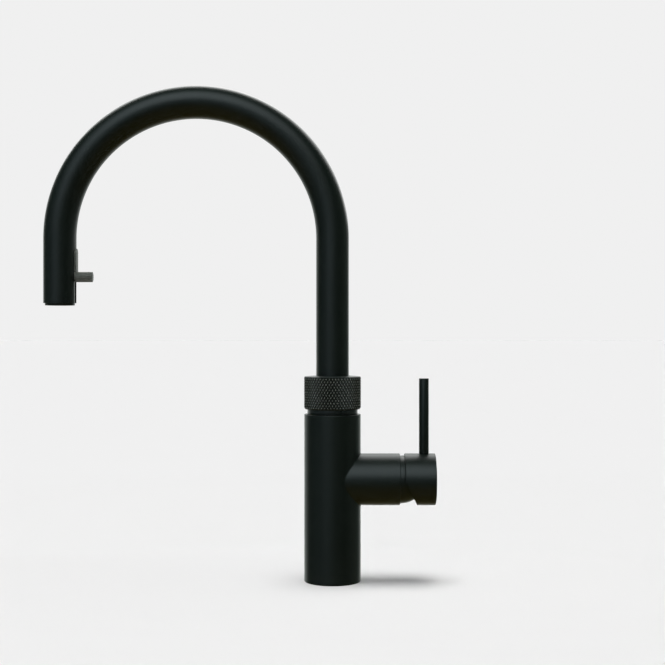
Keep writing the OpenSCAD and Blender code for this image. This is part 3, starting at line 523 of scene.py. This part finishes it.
def buildColumn():
    v, height = column, shared["branchHeight"]
    body = rod(shared["columnRadius"], v["height"], (0, 0, 0), sides=v["sides"])
    combine(body, rod(shared["branchRadius"], v["branchEnd"], (0, 0, height), alongX=True,
                      sides=v["sides"]), "UNION")

    def onColumn(x, y, z):
        return abs(math.hypot(x, y) - shared["columnRadius"]) < onCircle

    def onBranch(x, y, z):
        return abs(math.hypot(y, z - height) - shared["branchRadius"]) < onCircle

    def onJunction(x, y, z):
        return x > 0 and onColumn(x, y, z) and onBranch(x, y, z)

    def onRim(x, y, z):
        columnEnd = z < onPlane or z > v["height"] - onPlane
        branchEnd = x > v["branchEnd"] - onPlane
        return onColumn(x, y, z) and columnEnd or onBranch(x, y, z) and branchEnd

    selectEdges(body, onJunction)
    bevelEdges(v["junctionFillet"], 4)
    selectEdges(body, onRim)
    bevelEdges(v["outerEdge"], 3)

    radius, depth = v["socket"]
    combine(body, rod(radius, depth + past, (0, 0, -past)))
    outer, inner, depth = v["groove"]
    combine(body, lathe([(inner, -past), (outer, -past), (outer, depth), (inner, depth)]))
    combine(body, rod(v["pipeRadius"], v["height"], (0, 0, v["boreFoot"]), sides=64))
    radius, start = v["neckBore"]
    combine(body, rod(radius, farOut, (0, 0, start)))
    radius, start = v["cartridgeBore"]
    combine(body, rod(radius, farOut, (start, 0, height), alongX=True))
    for x, y in v["ports"]:
        combine(body, rod(v["portRadius"], v["portTop"] - v["boreFoot"], (x, y, v["boreFoot"]),
                          sides=40))
    finishPiece(body, "columnShell", "column", "satin_black", "tap_body", even=True)


lightRing = {"outer": 20.55, "inner": 19.75, "foot": 136.75, "top": 141.95, "edge": 0.12}


def buildLightRing():
    v = lightRing
    ring = lathe([(v["inner"], v["foot"]), (v["outer"], v["foot"]), (v["outer"], v["top"]),
                  (v["inner"], v["top"])])
    roundEdges(ring, v["edge"], 2)
    finishPiece(ring, "lightRing", "column", "smoked_ring", "light_ring")


knob = {"coreRadius": 22.25, "foot": 141.2, "chamferRadius": 21.5, "chamferTop": 142.1,
        "bore": 13.775, "neckSpace": 20.95, "skirtSpace": 20.65, "stepHeight": 151.0,
        "roofHeight": 164.0, "capRadius": 23.0, "cap": 0.4, "capSteps": 6, "crown": 0.7,
        "edge": 0.15}


def buildKnobCore():
    # A plain cap with a round rim covers the knurl's top end and rises towards the spout
    v, top, foot = knob, shared["knobTop"], knob["foot"]
    turns = [math.pi / 2 * k / v["capSteps"] for k in range(v["capSteps"] + 1)]
    rim = [(v["capRadius"] - v["cap"] * (1 - math.sin(a)), top + v["cap"] * math.cos(a))
           for a in turns]
    core = lathe([(v["bore"], v["roofHeight"]), (v["bore"], top + v["cap"] + v["crown"]), *rim,
                  (v["coreRadius"], top), (v["coreRadius"], v["chamferTop"]),
                  (v["chamferRadius"], foot), (v["neckSpace"], foot),
                  (v["neckSpace"], v["stepHeight"]), (v["skirtSpace"], v["stepHeight"]),
                  (v["skirtSpace"], v["roofHeight"])])
    roundEdges(core, v["edge"], 2)
    finishPiece(core, "knobCore", "knob", "satin_black", "knob_core", finish=knobTopBlack)


knurl = {"diamonds": 56, "valley": 22.62, "tip": 23.25, "row": 2.13, "firstTip": 165.65,
         "pairs": 8, "tipShare": 0.78, "joinGap": 0.01, "endShrink": 0.8, "sides": 224,
         "envelope": [(22.27, 140.85), (22.32, 140.85), (23.25, 142.3), (23.25, 166.55),
                      (22.75, 167.06), (22.27, 167.06)]}


def buildKnurl():
    # One diamond is laid on the valley radius and copied round and up
    v = knurl
    half = math.pi / v["diamonds"]
    side = v["valley"] * math.sin(half)
    sunk = v["valley"] * (1 - math.cos(half))
    middle = (v["valley"] * mm, 0, v["firstTip"] * mm)
    deselectAll()
    bpy.ops.mesh.primitive_circle_add(vertices=4, radius=mm, fill_type="NGON", location=middle,
                                      rotation=(0, math.pi / 2, 0))
    band = applyPlace(bpy.context.object)
    editAll(band)
    bpy.ops.transform.resize(value=(1, side, v["row"]), center_override=middle)
    selectVerts(band, lambda x, y, z: abs(y) > side / 2)
    move(-sunk, 0, 0)

    deselectAll()
    bpy.ops.object.empty_add(rotation=(0, 0, 2 * half))
    turner = bpy.context.object
    applyModifier(band, "ARRAY", count=v["diamonds"], use_relative_offset=False,
                  use_object_offset=True, offset_object=turner, use_merge_vertices=True,
                  use_merge_vertices_cap=True, merge_threshold=v["joinGap"] * mm)
    bpy.data.objects.remove(turner)
    editAll(band)
    bpy.ops.mesh.duplicate_move(TRANSFORM_OT_translate={"value": (0, 0, -v["row"] * mm)})
    bpy.ops.transform.rotate(value=half, orient_axis="Z", center_override=(0, 0, 0))
    objectMode()
    applyModifier(band, "ARRAY", count=v["pairs"], use_relative_offset=False,
                  use_constant_offset=True,
                  constant_offset_displace=(0, 0, -2 * v["row"] * mm))
    editAll(band)
    move(0, 0, 2 * v["row"])
    closeShape()

    # Every face is raised to a small flat tip
    editAll(band)
    inward = v["row"] * side / math.hypot(v["row"], side)
    bpy.ops.mesh.inset(thickness=inward * v["tipShare"] * mm, use_individual=True,
                       depth=(v["tip"] - v["valley"] + sunk) * mm)
    # The two zigzag ends run in towards the axis and are joined, so that the shell can be cut
    bpy.ops.mesh.select_all(action="DESELECT")
    bpy.ops.mesh.select_non_manifold(extend=False)
    extrude(0, 0, 0)
    bpy.ops.transform.resize(value=(v["endShrink"], v["endShrink"], 1),
                             center_override=(0, 0, shared["knobTop"] * mm))
    bpy.ops.mesh.bridge_edge_loops()
    closeShape()
    combine(band, lathe(v["envelope"], sides=v["sides"]), "INTERSECT")
    finishPiece(band, "knurledRing", "knob", "gunmetal", "knurled_ring", 12, knurlSurface)


springs = {"coil": 1.5, "wire": 0.25, "turns": 6, "foot": 146.09, "top": 160.91,
           "pitch": 17.612, "count": 3, "push": 3.0, "wireSides": 10, "turnSteps": 28}


def buildSprings():
    # Three coils push the knob up. A ring of wire is screwed up into one, which is copied round
    v = springs
    height = v["top"] - v["foot"]
    deselectAll()
    bpy.ops.mesh.primitive_circle_add(vertices=v["wireSides"], radius=v["wire"] * mm,
                                      location=(v["coil"] * mm, 0, 0),
                                      rotation=(math.pi / 2, 0, 0))
    coil = applyPlace(bpy.context.object)
    applyModifier(coil, "SCREW", axis="Z", steps=v["turnSteps"], render_steps=v["turnSteps"],
                  iterations=v["turns"],
                  screw_offset=(height - 2 * v["wire"]) / v["turns"] * mm)
    editAll(coil)
    bpy.ops.mesh.fill_holes(sides=0)
    bpy.ops.mesh.select_all(action="SELECT")
    move(0, -v["pitch"], v["foot"] + v["wire"])
    closeShape()
    coils = [coil]
    for k in range(1, v["count"]):
        pick(coil)
        bpy.ops.object.duplicate()
        bpy.ops.transform.rotate(value=2 * math.pi * k / v["count"], orient_axis="Z",
                                 center_override=(0, 0, 0))
        coils.append(applyPlace(bpy.context.object))
    joinAll(coils)
    finishPiece(coil, "returnSprings", "knob_carrier", "steel", "return_springs", 60)
    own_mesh(coil)


dome = {"radius": 19.4, "wall": 1.6, "mouth": 11.93, "skirtRadius": 17.65, "skirtStart": 51.1,
        "skirtBore": 15.8, "seat": 55.1, "sunk": 0.1}


def buildDome():
    v, (x, y, z) = dome, pivot
    shell = ball(v["radius"], pivot)
    applyModifier(shell, "SOLIDIFY", thickness=v["wall"] * mm, offset=-1.0)
    combine(shell, block((x - farOut, -farOut, z - farOut), (v["seat"], farOut, z + farOut)))
    combine(shell, block((x + v["mouth"], -farOut, z - farOut), (x + farOut, farOut, z + farOut)))
    flange, flangeEnd = v["radius"] - v["sunk"], v["seat"] + v["wall"]
    skirt = lathe([(v["skirtBore"], v["skirtStart"]), (v["skirtRadius"], v["skirtStart"]),
                   (v["skirtRadius"], v["seat"]), (flange, v["seat"]), (flange, flangeEnd),
                   (v["skirtBore"], flangeEnd)], centre=(0, 0, z), alongX=True)
    combine(shell, skirt, "UNION")
    finishPiece(shell, "dome", "column", "satin_black", "dome_cover", even=True)


lever = {"hubStart": 59.0, "hubEnd": 84.1, "hubEdge": 0.45, "hollow": 19.8, "undercut": 26,
         "boss": (6.5, 65.9, 80.5), "grub": (2.02, 78.0), "grubFoot": 22.0, "grubLength": 18.0,
         "rodX": 74.9, "rodRadius": 4.0, "rodFoot": 97.7, "rodTop": 165.9, "rodEdge": 0.35,
         "sides": 160}


def buildHub():
    v, height = lever, shared["branchHeight"]
    hub = rod(shared["branchRadius"], v["hubEnd"] - v["hubStart"], (v["hubStart"], 0, height),
              alongX=True, sides=v["sides"])
    roundEdges(hub, v["hubEdge"])
    combine(hub, ball(v["hollow"], pivot))
    # The undercut is made by a block that is turned about its upper edge, at the hub's start
    wedge = block((-farOut, -farOut / 2, -farOut), (0, farOut / 2, 0))
    wedge.rotation_euler = (0, -math.radians(v["undercut"]), 0)
    wedge.location = (v["hubStart"] * mm, 0, height * mm)
    combine(hub, applyPlace(wedge))
    radius, start, end = v["boss"]
    combine(hub, rod(radius, end - start, (start, 0, height), alongX=True, sides=64), "UNION")
    editAll(hub)
    closeShape()
    radius, place = v["grub"]
    combine(hub, rod(radius, v["grubLength"], (place, 0, height - v["grubFoot"]), sides=48))
    finishPiece(hub, "leverHub", "lever", "satin_black", "lever_hub", even=True)


def buildRod():
    v = lever
    stick = rod(v["rodRadius"], v["rodTop"] - v["rodFoot"], (v["rodX"], 0, v["rodFoot"]),
                sides=80)
    roundEdges(stick, v["rodEdge"])
    finishPiece(stick, "leverRod", "lever", "satin_black", "lever_rod")


spout = {"foot": 116.35, "wall": 1.2, "slotWidth": 9.0, "slotTop": 272.5, "slotRun": 70,
         "edge": 0.15, "sides": 96, "archSteps": 120}
slotCentre = spout["slotTop"] - spout["slotWidth"] / 2


def sweepRoute(radius, offset, foot, end, sides, archSteps):
    # A ring is drawn up the column's axis, spun over the arch and drawn down to the outlet side
    deselectAll()
    bpy.ops.mesh.primitive_circle_add(vertices=sides, radius=radius * mm,
                                      location=(offset * mm, 0, foot * mm))
    tube = applyPlace(bpy.context.object)
    editAll(tube)
    extrude(0, 0, shared["archHeight"] - foot)
    bpy.ops.mesh.spin(steps=archSteps, angle=math.pi, axis=(0, 1, 0),
                      center=(-shared["archRadius"] * mm, 0, shared["archHeight"] * mm))
    extrude(0, 0, end - shared["archHeight"])
    closeShape()
    return tube


def buildSpout():
    # The slot's cutter is a rod whose lower half is pulled down past the tube's end
    v = spout
    tube = sweepRoute(shared["spoutRadius"], 0, v["foot"], shared["outletHeight"], v["sides"],
                      v["archSteps"])
    applyModifier(tube, "SOLIDIFY", thickness=v["wall"] * mm, offset=-1.0, use_even_offset=True)
    slot = rod(v["slotWidth"] / 2, farOut, (outletX, 0, slotCentre), alongX=True, sides=64)
    selectVerts(slot, lambda x, y, z: z < slotCentre - onPlane)
    move(0, 0, -v["slotRun"])
    combine(tube, slot)
    roundEdges(tube, v["edge"])
    finishPiece(tube, "spoutTube", "spout", "satin_black", "spout_tube", even=True)


nozzle = {"radius": 12.055, "bore": 11.005, "foot": 225.7, "top": 266.6, "edge": 0.35}


def buildSleeve():
    v = nozzle
    sleeve = lathe([(v["bore"], v["foot"]), (v["radius"], v["foot"]), (v["radius"], v["top"]),
                    (v["bore"], v["top"])], centre=(outletX, 0, 0))
    roundEdges(sleeve, v["edge"])
    finishPiece(sleeve, "nozzleSleeve", "nozzle", "satin_black", "nozzle_sleeve")


keyStrip = {"width": 8.4, "foot": 253.1, "face": 14.15, "blank": 20, "gap": 0.02, "edge": 0.35}


def buildStrip():
    # A round-topped blank is cut flat outside and hollow inside, where it lies on the sleeve
    v, half = keyStrip, keyStrip["width"] / 2
    strip = rod(half, v["blank"], (outletX, 0, slotCentre), alongX=True, sides=64)
    combine(strip, block((outletX, -half, v["foot"]), (outletX + v["blank"], half, slotCentre)),
            "UNION")
    combine(strip, block((outletX + v["face"], -farOut, slotCentre - farOut),
                         (outletX + farOut, farOut, slotCentre + farOut)))
    combine(strip, rod(nozzle["radius"] + v["gap"], farOut, (outletX, 0, nozzle["foot"])))
    roundEdges(strip, v["edge"], 4)
    finishPiece(strip, "keyStrip", "nozzle", "gunmetal", "key_strip")


pullPin = {"radius": 4.25, "start": 11.405, "end": 26.875, "edge": 0.35}


def buildPin():
    v = pullPin
    pin = rod(v["radius"], v["end"] - v["start"],
              (outletX + v["start"], 0, shared["pinHeight"]), alongX=True, sides=80)
    roundEdges(pin, v["edge"])
    finishPiece(pin, "pullPin", "nozzle", "gunmetal", "pull_pin")


aerator = {"radius": 10.955, "bore": 9.655, "foot": 226.2, "top": 240.2, "lipBore": 8.655,
           "lipHeight": 0.6, "edge": 0.15}


def buildAerator():
    v, lipTop = aerator, aerator["foot"] + aerator["lipHeight"]
    housing = lathe([(v["lipBore"], v["foot"]), (v["radius"], v["foot"]),
                     (v["radius"], v["top"]), (v["bore"], v["top"]), (v["bore"], lipTop),
                     (v["lipBore"], lipTop)], centre=(outletX, 0, 0))
    roundEdges(housing, v["edge"], 2)
    finishPiece(housing, "aeratorHousing", "nozzle", "grey_plastic", "aerator_housing")


sprayPlate = {"radius": 9.605, "foot": 226.82, "top": 228.42, "edge": 0.2, "holeRadius": 0.55,
              "nippleFoot": 0.85, "nippleTip": 0.72, "nippleLength": 0.5, "nippleRound": 0.15,
              "nippleLip": 0.04, "nippleSunk": 0.05, "holeSides": 20,
              "rings": [(2.825, 6), (5.65, 12), (7.91, 18)]}


def buildPlate():
    # The plate is pierced in the middle and in three rings. Each hole has a soft nipple round it.
    # The drill and the nipple of the middle hole are copied to the others
    v, thick = sprayPlate, sprayPlate["top"] - sprayPlate["foot"]
    plate = rod(v["radius"], thick, (outletX, 0, v["foot"]), sides=96)
    roundEdges(plate, v["edge"], 2)
    root, tip = v["foot"] + v["nippleSunk"], v["foot"] - v["nippleLength"]
    nipple = lathe([(v["holeRadius"], root), (v["holeRadius"], tip + v["nippleRound"]),
                    (v["holeRadius"] + v["nippleLip"], tip),
                    (v["nippleTip"] - v["nippleRound"], tip),
                    (v["nippleTip"], tip + v["nippleRound"]), (v["nippleFoot"], root)],
                   centre=(outletX, 0, 0), sides=v["holeSides"])
    drill = rod(v["holeRadius"], thick + 2 * past, (outletX, 0, v["foot"] - past),
                sides=v["holeSides"])
    nipples, drills = [nipple], [drill]
    for radius, count in v["rings"]:
        for k in range(count):
            turn = 2 * math.pi * k / count
            step = (radius * math.cos(turn), radius * math.sin(turn), 0)
            nipples.append(copyTo(nipple, step))
            drills.append(copyTo(drill, step))
    combine(plate, joinAll(drills))
    joinAll([plate, *nipples])
    finishPiece(plate, "sprayPlate", "nozzle", "gunmetal", "spray_plate", finish=sprayRubber)


hose = {"radius": 4.5, "bore": 3.0, "shift": -2.7, "foot": 16.0, "fitting": 257.4,
        "softEnd": 262.0, "loops": 60, "sides": 40, "archSteps": 90}


def hollow(tube, wall):
    editAll(tube)
    closeShape()
    applyModifier(tube, "SOLIDIFY", thickness=wall * mm, offset=-1.0)


def markSides(obj):
    # Each corner keeps its place beside the middle of the hose's straight end, for the weave
    middle = Vector(((outletX - hose["shift"]) * mm, 0, 0))
    side = obj.data.attributes.new("hoseSide", "FLOAT_VECTOR", "POINT")
    for vertex, stored in zip(obj.data.vertices, side.data):
        stored.vector = vertex.co - middle


def buildHose():
    # The long run stays in the spout. The last straight length is a separate piece above the
    # fitting
    v, top = hose, shared["archHeight"]
    run = sweepRoute(v["radius"], v["shift"], v["foot"], top, v["sides"], v["archSteps"])
    hollow(run, v["radius"] - v["bore"])
    markSides(run)
    finishPiece(run, "hoseRun", "spout", "grey_plastic", "pullout_hose", 60, braid)

    x = outletX - v["shift"]
    deselectAll()
    bpy.ops.mesh.primitive_circle_add(vertices=v["sides"], radius=v["radius"] * mm,
                                      location=(x * mm, 0, v["fitting"] * mm))
    soft = applyPlace(bpy.context.object)
    editAll(soft)
    for step in range(v["loops"]):
        extrude(0, 0, (top - v["fitting"]) / v["loops"])
    hollow(soft, v["radius"] - v["bore"])
    markSides(soft)
    dressPiece(soft, "hoseEnd", braid, 60)
    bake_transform(soft)
    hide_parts("pullout_hose")


buildColumn()
buildLightRing()
buildKnobCore()
buildKnurl()
buildSprings()
buildDome()
buildHub()
buildRod()
buildSpout()
buildSleeve()
buildStrip()
buildPin()
buildAerator()
buildPlate()
buildHose()
print("pieces ready")

# On the floor, only the parts near it keep a shadow
casters = bpy.data.collections.new("shadowCasters")
for name in ("columnShell", "dome", "leverHub", "leverRod", "knobCore", "knurledRing"):
    casters.objects.link(bpy.data.objects[name])
keyLamp.light_linking.blocker_collection = casters

bpy.context.view_layer.update()
